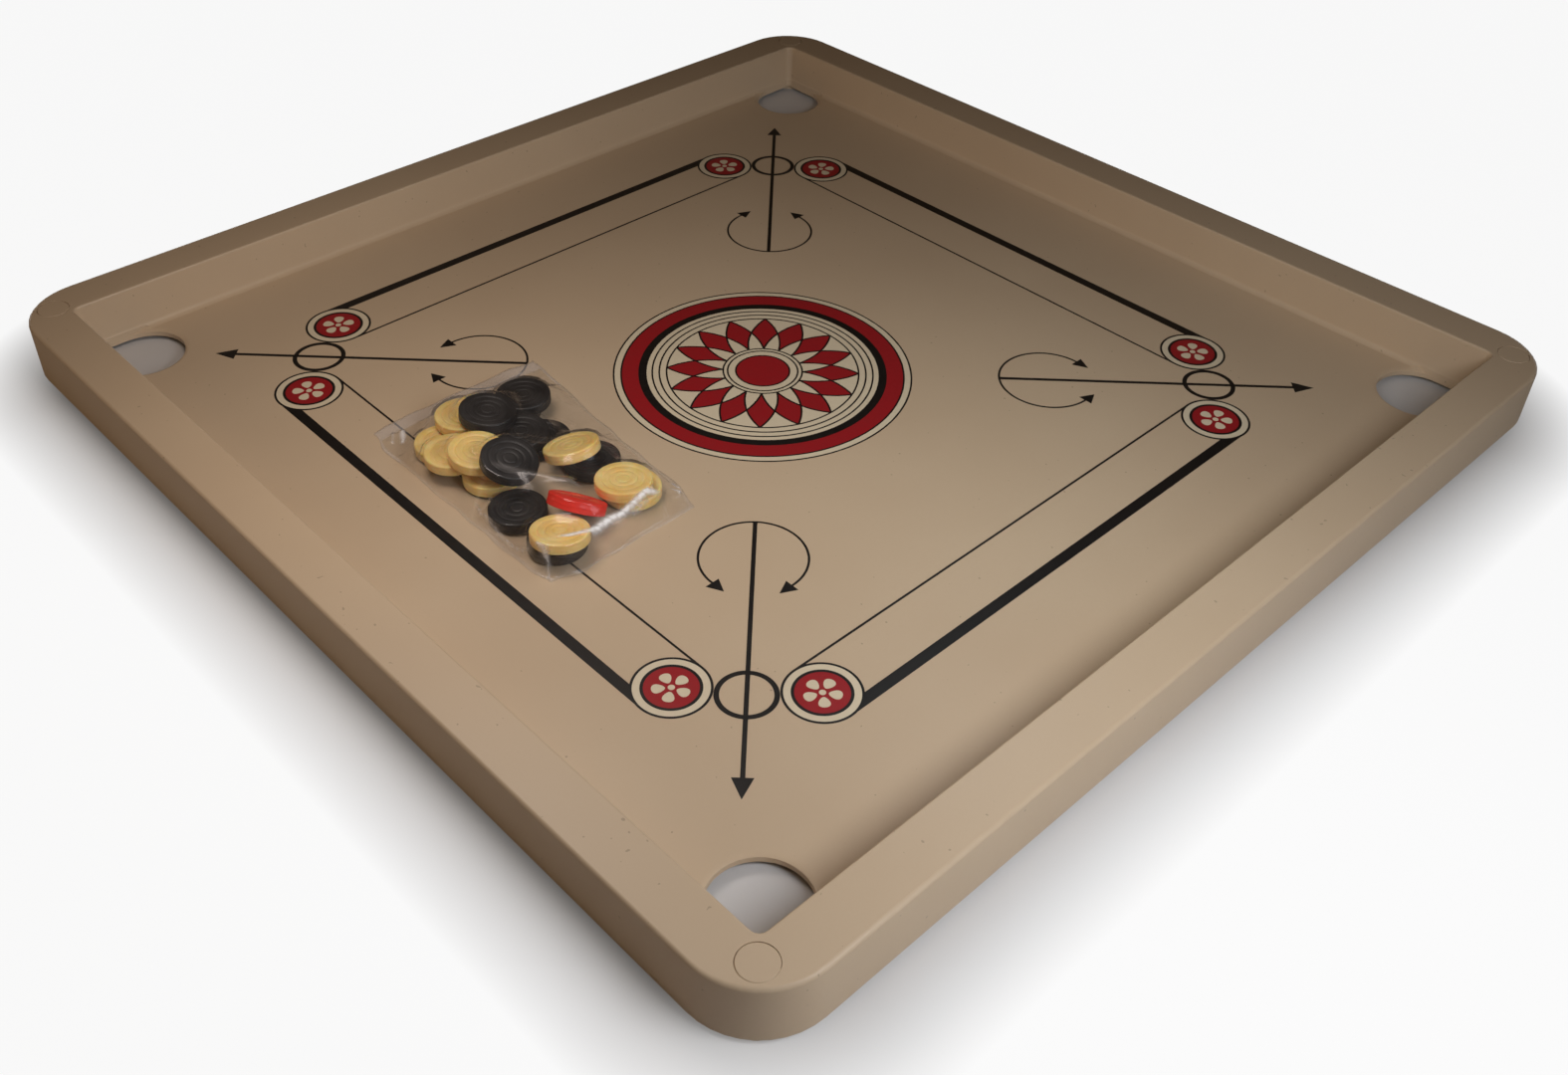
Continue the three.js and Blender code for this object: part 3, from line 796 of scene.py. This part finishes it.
# The cloth solver.
DRAPE_ROUNDS = 60  # rounds of smoothing that give the sheet's starting shape
NOISE_ROUNDS = 3
START_LIFT = 3.0  # the sheet starts this far above that shape
START_NOISE = 2.5
STEPS = 70
PASSES = 6  # passes over all links in each step
GRAVITY = 0.05  # fall in one step
KEEP_SPEED = 0.86
LINKS = (  # grid step and stiffness of each kind of link
    ((0, 1), 1.0), ((1, 0), 1.0),
    ((1, 1), 0.6), ((1, -1), 0.6),
    ((0, 2), 0.30), ((2, 0), 0.30),
    ((0, 4), 0.12), ((4, 0), 0.12),
)

# How white the film is, 0 to 1: milky seals, painted glare on the left seal and painted highlights along
# folds.
LEFT_SEAL_SHARE = 0.2  # of the packet's length that counts as its left end
# painted glare: the left seal is made whiter than the other seals, standing for glare on it
LEFT_SEAL_WHITE = 0.20
SEAL_WHITE = 0.05
LOWER_SEAL_WHITE = 0.08
FOLD_HIGHLIGHT_MIDDLE = 0.84  # a fold's painted highlight is scaled by this, give or take the next value
FOLD_HIGHLIGHT_VARIES = 0.16
FADE_SHARE = 0.1  # a fold fades out over this share of its length at each end
END_WIDTH = 0.65  # how broad its painted highlight line is at the ends, in half widths
MIDDLE_WIDTH = 0.5  # and how much broader in the middle

RIDGE_ENDS = 0.15  # a fold's ridge sinks over this share of its length at each end
RIDGE_LOW = 0.6  # to this share of its height
RIDGE_SLOPE = 1.3
RIDGE_REACH = 2  # in half widths
LOWER_SWELL = 0.07  # the lower sheet's gentle waves: height and lengths
LOWER_SWELL_X = 6.1
LOWER_SWELL_Y = 9.7


def packet_corners():
    """The packet's corners, from the lower sheet: left front, right front, right back, left back."""
    points = man_points("packet_film_lower")[:, :2]
    centre = points.mean(axis=0)
    across = 1.6  # the packet is longer than it is wide
    def corner(sx, sy):
        return points[np.argmax((points - centre) @ np.array([sx, sy * across]))]
    return [corner(-1, -1), corner(1, -1), corner(1, 1), corner(-1, 1)]


def patch(u, v):
    """Points of the flat packet at shares u and v between its corners."""
    a, b, c, d = packet_corners()
    u = u[..., None]
    v = v[..., None]
    return (1 - v) * ((1 - u) * a + u * b) + v * ((1 - u) * d + u * c)


def uneven_wave(x, rate, bend, bend_rate):
    return np.sin(rate * x + bend * np.sin(bend_rate * x))


def ruffle(flat, u, v):
    """The flat sheet with its corners drawn in and its edges a little wavy."""
    moved = flat.copy()
    for corner, curl in zip(packet_corners(), CORNER_CURL):
        share = np.clip(1 - np.linalg.norm(flat - corner, axis=2) / CURL_REACH, 0, 1)
        moved += (share * share * (3 - 2 * share))[..., None] * np.array(curl)
    edge = v ** EDGE_WAVE_POWER + (1 - v) ** EDGE_WAVE_POWER
    moved[..., 1] += EDGE_WAVE * edge * uneven_wave(flat[..., 0], *FRONT_WAVE)
    side = u ** EDGE_WAVE_POWER + (1 - u) ** EDGE_WAVE_POWER
    moved[..., 0] += EDGE_WAVE * side * uneven_wave(flat[..., 1], *SIDE_WAVE)
    moved[..., 1] -= BACK_DRAW * np.sin(math.pi * u) * v ** BACK_DRAW_POWER
    return moved


def man_top(name, gx, gy):
    """Height of a man's upper side over each grid point, minus infinity beside it."""
    centre, axis, radius, half = man_place(name)
    dx = gx - centre[0]
    dy = gy - centre[1]
    s = axis[0] * dx + axis[1] * dy
    high = (half - s) / axis[2]
    low = (-half - s) / axis[2]
    a = 1 - axis[2] ** 2
    c = dx * dx + dy * dy - s * s - radius * radius
    if a < TINY:
        top = np.where(c <= 0, high, -np.inf)
    else:
        root = (axis[2] * s) ** 2 - a * c
        safe = np.sqrt(np.maximum(root, 0))
        upper = (axis[2] * s + safe) / a
        lower = (axis[2] * s - safe) / a
        hit = (root >= 0) & (upper >= low) & (lower <= high)
        top = np.where(hit, np.minimum(high, upper), -np.inf)
    return centre[2] + top


def pile_height(floor_z):
    """Height map of the men's upper sides over the packet: (x0, y0, heights)."""
    corners = np.array(packet_corners())
    x0, y0 = corners.min(axis=0) - HEIGHT_MARGIN
    x1, y1 = corners.max(axis=0) + HEIGHT_MARGIN
    gx, gy = np.meshgrid(np.arange(x0, x1, HEIGHT_CELL), np.arange(y0, y1, HEIGHT_CELL))
    height = np.full(gx.shape, floor_z)
    for name in frame["nodes"]:
        if "man_" in name or name == "queen":
            height = np.maximum(height, man_top(name, gx, gy) + FILM_GAP)
    for _ in range(HEIGHT_WIDENINGS):
        height = widen(height)
    return x0, y0, height


def widen(height):
    """Every cell takes the highest of its eight neighbours and itself."""
    padded = np.pad(height, 1, mode="edge")
    rows, columns = height.shape
    shifted = [padded[j:j + rows, i:i + columns] for j in range(3) for i in range(3)]
    return np.max(shifted, axis=0)


def sample(field, x, y):
    """The height map's value at any point, between its cells."""
    x0, y0, height = field
    last = 1.001  # keeps a point at the far edge inside the last cell
    fx = np.clip((x - x0) / HEIGHT_CELL, 0, height.shape[1] - last)
    fy = np.clip((y - y0) / HEIGHT_CELL, 0, height.shape[0] - last)
    i = fx.astype(int)
    j = fy.astype(int)
    s = fx - i
    t = fy - j
    near = height[j, i] * (1 - s) + height[j, i + 1] * s
    far = height[j + 1, i] * (1 - s) + height[j + 1, i + 1] * s
    return near * (1 - t) + far * t


def seal_mask(flat):
    """Which grid points are in a seal, from their distance to the packet's edges."""
    a, b, c, d = packet_corners()
    def distance(p, q):
        along = (q - p) / np.linalg.norm(q - p)
        away = flat - p
        return np.abs(away[..., 0] * along[1] - away[..., 1] * along[0])
    edge = np.minimum(np.minimum(distance(a, b), distance(b, c)), distance(c, d))
    left = distance(a, d)
    return (edge < EDGE_SEAL) | (left < LEFT_SEAL)


def links(rows, columns, dj, di):
    """Pairs of grid points one step (dj, di) apart, dj not below 0, in two groups."""
    index = np.arange(rows * columns).reshape(rows, columns)
    i0 = max(0, -di)
    i1 = columns - max(0, di)
    first = index[:rows - dj, i0:i1]
    second = index[dj:, i0 + di:i1 + di]
    jj, ii = np.meshgrid(np.arange(rows - dj), np.arange(i0, i1), indexing="ij")
    parity = (ii // abs(di) if di else jj // abs(dj)) % 2
    return [(first[parity == k], second[parity == k]) for k in (0, 1)]


def side_sum(values):
    """The sum of each grid point's four neighbours."""
    padded = np.pad(values, 1, mode="edge")
    return padded[:-2, 1:-1] + padded[2:, 1:-1] + padded[1:-1, :-2] + padded[1:-1, 2:]


def starting_shape(flat, sealed, field, seal_z):
    """A loose drape over the men, raised and roughened so that the sheet has room to fall and buckle."""
    start = sample(field, flat[..., 0], flat[..., 1])
    for _ in range(DRAPE_ROUNDS):
        start = np.where(sealed, seal_z, np.maximum(side_sum(start) / 4, start))
    noise = rng.normal(0, 1, sealed.shape)
    for _ in range(NOISE_ROUNDS):
        noise = (side_sum(noise) + noise) / 5
    start = np.where(sealed, seal_z, start + START_LIFT + noise * START_NOISE)
    return np.concatenate([flat.reshape(-1, 2), start.reshape(-1, 1)], axis=1)


def settle_film(flat, sealed, field, seal_z):
    """Drops the slack sheet onto the men and lets it buckle: a small cloth solver on the grid."""
    rows, columns = sealed.shape
    rest = flat.reshape(-1, 2) * FILM_SLACK
    p = starting_shape(flat, sealed, field, seal_z)  # one row for each grid point
    old = p.copy()
    fixed = sealed.reshape(-1)
    held = p[fixed].copy()
    free = np.where(fixed, 0.0, 1.0)
    groups = []
    for (dj, di), stiffness in LINKS:
        for a, b in links(rows, columns, dj, di):
            length = np.linalg.norm(rest[a] - rest[b], axis=1)
            groups.append((a, b, length, stiffness))
    for _ in range(STEPS):
        moved = p + (p - old) * KEEP_SPEED
        moved[:, 2] -= GRAVITY
        old = p
        p = np.where(fixed[:, None], p, moved)
        for _ in range(PASSES):
            for a, b, length, stiffness in groups:
                d = p[b] - p[a]
                now = np.linalg.norm(d, axis=1)
                weight = np.maximum(free[a] + free[b], TINY)
                share = stiffness * (now - length) / np.maximum(now, TINY) / weight
                p[a] += d * (share * free[a])[:, None]
                p[b] -= d * (share * free[b])[:, None]
            rest_on = np.maximum(sample(field, p[:, 0], p[:, 1]), seal_z)
            p[:, 2] = np.maximum(p[:, 2], rest_on)
            p[fixed] = held
    return p.reshape(rows, columns, 3)


# A fold's points, its height over the seal, its half width and how white its painted highlight is.
Fold = namedtuple("Fold", "points rise width white")


def by(node, *offsets):
    """Points of the packet given from the centre of a man, so that folds follow the men."""
    low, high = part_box(node)
    x = (low.x + high.x) / 2 / MM
    y = (low.y + high.y) / 2 / MM
    return [np.array([x + dx, y + dy]) for dx, dy in offsets]


def fold_lines():
    """Sharp folds of the upper sheet."""
    main = by("cream_man_7", (14, 9.5), (13.5, 0.5), (16, -8.5), (17.7, -15.3), (17.5, -22.5))
    main += by("cream_man_9", (9.4, 8.4), (7, 0.5), (4.4, -5.1))
    middle = by("black_man_5", (0, -9.5), (9.3, -2.3)) + by("queen", (-13.4, -3.6), (-0.2, 5.8))
    front = by("black_man_8", (-14, -12), (1.5, -13.6)) + by("black_man_9", (-9, -14.4), (5, -14.4))
    return [
        Fold(main, rise=12.0, width=1.25, white=1.0),
        Fold(by("cream_man_7", (15.5, 1), (18.5, -9), (18.8, -18)), rise=8.5, width=0.6, white=0.35),
        Fold(middle, rise=18.0, width=1.6, white=0.12),
        Fold(front, rise=1.8, width=0.45, white=0.40),
        # at the left seal
        Fold(by("cream_man_1", (-21, 21), (-20.5, 49)), rise=2.2, width=0.8, white=0.40),
        Fold(by("cream_man_2", (-23.5, -5.5), (-14, -11.5)), rise=2.0, width=0.9, white=0.95),
        Fold(by("cream_man_2", (-26, -9), (-17, -15)), rise=1.4, width=0.5, white=0.40),
        # at the right back corner
        Fold(by("cream_man_8", (9.5, 12), (14, 15)), rise=2.2, width=0.7, white=0.80),
        Fold(by("cream_man_8", (6, 15), (10.5, 17.5)), rise=1.6, width=0.5, white=0.50),
        # in front of the nearest cream man
        Fold(by("cream_man_9", (1.5, -12.6), (8.5, -11.8)), rise=9.0, width=0.5, white=0.70),
        Fold(by("cream_man_9", (6.5, -10.5), (9.5, -14)), rise=6.0, width=0.4, white=0.60),
    ]


def along_fold(flat, points):
    """Distance from each grid point to the fold, and how far along it lies, 0 to 1."""
    best = np.full(flat.shape[:2], np.inf)
    share = np.zeros(flat.shape[:2])
    count = len(points) - 1
    for k in range(count):
        a = points[k]
        d = points[k + 1] - a
        t = np.clip(((flat - a) @ d) / (d @ d), 0, 1)
        away = np.linalg.norm(flat - a - t[..., None] * d, axis=2)
        share = np.where(away < best, (k + t) / count, share)
        best = np.minimum(best, away)
    return best, share


def raise_folds(field, seal_z):
    """The height map with each fold as a thin ridge that carries the sheet."""
    x0, y0, height = field
    rows, columns = height.shape
    cells = np.meshgrid(x0 + HEIGHT_CELL * np.arange(columns), y0 + HEIGHT_CELL * np.arange(rows))
    flat = np.stack(cells, axis=2)
    for fold in fold_lines():
        away, share = along_fold(flat, fold.points)
        ends = np.clip(np.minimum(share, 1 - share) / RIDGE_ENDS, 0, 1)
        ridge = seal_z + fold.rise * (RIDGE_LOW + (1 - RIDGE_LOW) * ends) - away * RIDGE_SLOPE
        height = np.where(away < fold.width * RIDGE_REACH, np.maximum(height, ridge), height)
    return x0, y0, height


def whiteness(grid, sealed, u):
    """How white the sheet is at each point: painted highlights along folds, broken up, milkiness over the
    seals and painted glare over the left seal.
    """
    flat = grid[..., :2]
    seal_white = np.where(u < LEFT_SEAL_SHARE, LEFT_SEAL_WHITE, SEAL_WHITE)
    white = np.where(sealed, seal_white, 0.0)
    wave = np.sin(flat[..., 0] * 1.7 + 3 * np.sin(flat[..., 1] * 0.9))
    breaks = FOLD_HIGHLIGHT_MIDDLE + FOLD_HIGHLIGHT_VARIES * wave
    for fold in fold_lines():
        away, share = along_fold(flat, fold.points)
        ends = np.clip(np.minimum(share, 1 - share) / FADE_SHARE, 0, 1)
        broad = fold.width * (END_WIDTH + MIDDLE_WIDTH * np.sin(math.pi * share))
        white = np.maximum(white, fold.white * breaks * ends * np.exp(-((away / broad) ** 2)))
    return white


def film_sheet(name, grid, milk_and_highlight, material, node):
    """A closed thin sheet over a grid of points, standing for a CAD node."""
    rows, columns = grid.shape[:2]
    across = np.gradient(grid, axis=1)
    along = np.gradient(grid, axis=0)
    normal = np.cross(across, along)
    normal /= np.linalg.norm(normal, axis=2)[..., None]
    under = (grid - normal * FILM_THICK / 2).reshape(-1, 3)
    over = (grid + normal * FILM_THICK / 2).reshape(-1, 3)
    count = rows * columns
    index = np.arange(count).reshape(rows, columns)
    faces = []
    for a in index[:-1, :-1].reshape(-1).tolist():
        b = a + 1
        c = b + columns
        d = a + columns
        faces.append((a + count, b + count, c + count, d + count))
        faces.append((a, d, c, b))
    rim = np.concatenate([index[0, :-1], index[:-1, -1], index[-1, :0:-1], index[:0:-1, 0]]).tolist()
    for k, a in enumerate(rim):
        b = rim[(k + 1) % len(rim)]
        faces.append((a, b, b + count, a + count))
    obj = add_mesh(name, np.concatenate([under, over]), faces, material, smooth=True)
    layer = obj.data.attributes.new(MILK_AND_HIGHLIGHT, "FLOAT", "POINT")
    layer.data.foreach_set("value", np.concatenate([milk_and_highlight.reshape(-1)] * 2).astype(np.float32))
    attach(obj, "packet")
    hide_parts(node)


def build_film():
    lower_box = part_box("packet_film_lower")
    seal_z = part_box("packet_film_upper")[0].z / MM + FILM_THICK / 2
    columns, rows = FILM_CELLS
    u, v = np.meshgrid(np.linspace(0, 1, columns + 1), np.linspace(0, 1, rows + 1))
    whole = patch(u, v)
    sealed = seal_mask(whole)
    flat = ruffle(whole, u, v)
    field = raise_folds(pile_height(seal_z), seal_z)
    grid = settle_film(flat, sealed, field, seal_z)
    milk_and_highlight = whiteness(grid, sealed, u)
    film_sheet("film_upper_crinkled", grid, milk_and_highlight, upper_film, "packet_film_upper")
    middle = (lower_box[0].z + lower_box[1].z) / 2 / MM
    bend = 2 * np.sin(flat[..., 1] / LOWER_SWELL_Y)
    swell = LOWER_SWELL * np.sin(flat[..., 0] / LOWER_SWELL_X + bend)
    under = np.concatenate([flat, (middle + swell)[..., None]], axis=2)
    plain = np.where(sealed, LOWER_SEAL_WHITE, 0.0)
    film_sheet("film_lower_sheet", under, plain, lower_film, "packet_film_lower")


build_film()


# ---------- floor, lights and camera

# Metres, watts and linear colours.
FLOOR_HALF_MM = 6000
FLOOR_TONES = ((0.58, 0.57, 0.56, 1.0), (0.61, 0.60, 0.59, 1.0))
FLOOR_ROUGH = 0.8
FLOOR_LIFT = 0.93  # how far the camera sees the floor as even white, away from the board
FLOOR_CORNER_R = 0.05  # the unlifted floor under the board has corners this round
LIFT_FROM = -0.006  # the lift starts this far past the board's side
LIFT_FULL = 0.04
AMBIENT = (1.0, 0.55, 0.20, 1.0)
AMBIENT_STRENGTH = 0.035
BACKDROP = (0.93, 0.93, 0.93, 1.0)

LAMPS = (  # name, place, what it faces, width and height, power, colour
    ("key", (0.45, -0.12, 0.31), (0.15, -0.10, 0.0), (0.20, 0.16), 1.0, (0.93, 0.95, 1.0)),
    ("above", (0.143, 0.0, 0.20), (0.143, 0.0, 0.0), (0.10, 0.10), 0.085, (0.85, 0.95, 1.0)),
    ("second", (-0.02, -0.18, 0.27), (-0.02, -0.18, 0.0), (0.14, 0.12), 0.33, (1.0, 0.88, 0.80)),
    ("right", (1.05, 0.08, 0.30), (0.25, 0.05, 0.0), (0.5, 0.3), 0.6, (0.86, 0.93, 1.0)),
    ("left", (-0.50, -0.95, 0.24), (-0.10, -0.25, 0.0), (0.5, 0.3), 0.8, (1.0, 0.76, 0.54)),
    ("behind_left", (-1.15, 0.10, 0.022), (-0.25, 0.05, 0.02), (0.9, 0.04), 1.0, (1.0, 0.95, 0.90)),
    ("behind_right", (-0.10, 1.15, 0.022), (-0.05, 0.25, 0.02), (0.9, 0.04), 1.0, (0.94, 0.96, 1.0)),
)


def build_floor():
    """A pale sweep, lifted evenly where the camera sees it so that it stays pale at the far side."""
    n = Nodes("floor_pale")
    tone = n.mix(n.remap(n.noise(1.2), 0.3, 0.7), *FLOOR_TONES)
    paper = n.principled(Base_Color=tone, Roughness=FLOOR_ROUGH)
    lift = n.node("ShaderNodeEmission", Color=(1.0, 1.0, 1.0, 1.0), Strength=1.0)
    place = n.node("ShaderNodeSeparateXYZ", Vector=n.place)
    straight = BOARD_HALF - FLOOR_CORNER_R
    squares = []
    for axis in place.outputs[:2]:
        away = n.math("MAXIMUM", n.math("SUBTRACT", n.math("ABSOLUTE", axis), straight))
        squares.append(n.math("MULTIPLY", away, away))
    reach = n.math("SQRT", n.math("ADD", *squares))
    share = n.remap(reach, FLOOR_CORNER_R + LIFT_FROM, FLOOR_CORNER_R + LIFT_FULL, to_high=FLOOR_LIFT)
    seen = n.node("ShaderNodeLightPath").outputs["Is Camera Ray"]
    n.surface(n.mix_shaders(n.math("MULTIPLY", share, seen), paper, lift))
    half = FLOOR_HALF_MM
    corners = [(-half, -half, 0), (half, -half, 0), (half, half, 0), (-half, half, 0)]
    add_mesh("floor", corners, [(0, 1, 2, 3)], n.material)


def add_lamp(name, place, target, size, power, colour):
    lamp = bpy.data.lights.new(name, "AREA")
    lamp.shape = "RECTANGLE"
    lamp.size, lamp.size_y = size
    lamp.energy = power
    lamp.color = colour
    obj = bpy.data.objects.new(name, lamp)
    bpy.context.scene.collection.objects.link(obj)
    obj.location = place
    obj.visible_camera = False
    obj.rotation_mode = "QUATERNION"
    obj.rotation_quaternion = (Vector(target) - Vector(place)).to_track_quat("-Z", "Y")


def build_world():
    """A faint warm fill for the object, behind which the camera sees a plain pale backdrop."""
    world = bpy.data.worlds.new("studio")
    world.use_nodes = True
    tree = world.node_tree
    ambient = tree.nodes["Background"]
    ambient.inputs["Color"].default_value = AMBIENT
    ambient.inputs["Strength"].default_value = AMBIENT_STRENGTH
    backdrop = tree.nodes.new("ShaderNodeBackground")
    backdrop.inputs["Color"].default_value = BACKDROP
    path = tree.nodes.new("ShaderNodeLightPath")
    both = tree.nodes.new("ShaderNodeMixShader")
    tree.links.new(path.outputs["Is Camera Ray"], both.inputs[0])
    tree.links.new(ambient.outputs[0], both.inputs[1])
    tree.links.new(backdrop.outputs[0], both.inputs[2])
    tree.links.new(both.outputs[0], tree.nodes["World Output"].inputs["Surface"])
    bpy.context.scene.world = world
    bpy.context.scene.view_settings.view_transform = "Standard"


# Degrees, metres and, for the lens and sensor, millimetres.
CAMERA_AZIMUTH = 45.72
CAMERA_ELEVATION = 40.49
CAMERA_ROLL = 1.40
CAMERA_PLACE = (0.4178, -0.4160, 0.4062)
CAMERA_LENS = 34.555
CAMERA_SENSOR = 36.0
CAMERA_SHIFT_X = 0.01435
CAMERA_NEAR = 0.01


def build_camera():
    azimuth = math.radians(CAMERA_AZIMUTH)
    elevation = math.radians(CAMERA_ELEVATION)
    roll = math.radians(CAMERA_ROLL)
    flat = math.cos(elevation)
    back = Vector((math.sin(azimuth) * flat, -math.cos(azimuth) * flat, math.sin(elevation)))
    side = Vector((0, 0, 1)).cross(back).normalized()
    rise = back.cross(side)
    x = side * math.cos(roll) + rise * math.sin(roll)
    y = rise * math.cos(roll) - side * math.sin(roll)
    data = bpy.data.cameras.new("camera")
    data.sensor_width = CAMERA_SENSOR
    data.lens = CAMERA_LENS
    data.shift_x = CAMERA_SHIFT_X
    data.clip_start = CAMERA_NEAR
    obj = bpy.data.objects.new("camera", data)
    bpy.context.scene.collection.objects.link(obj)
    obj.matrix_world = Matrix.Translation(CAMERA_PLACE) @ Matrix((x, y, back)).transposed().to_4x4()
    bpy.context.scene.camera = obj


build_floor()
for lamp in LAMPS:
    add_lamp(*lamp)
build_world()
build_camera()
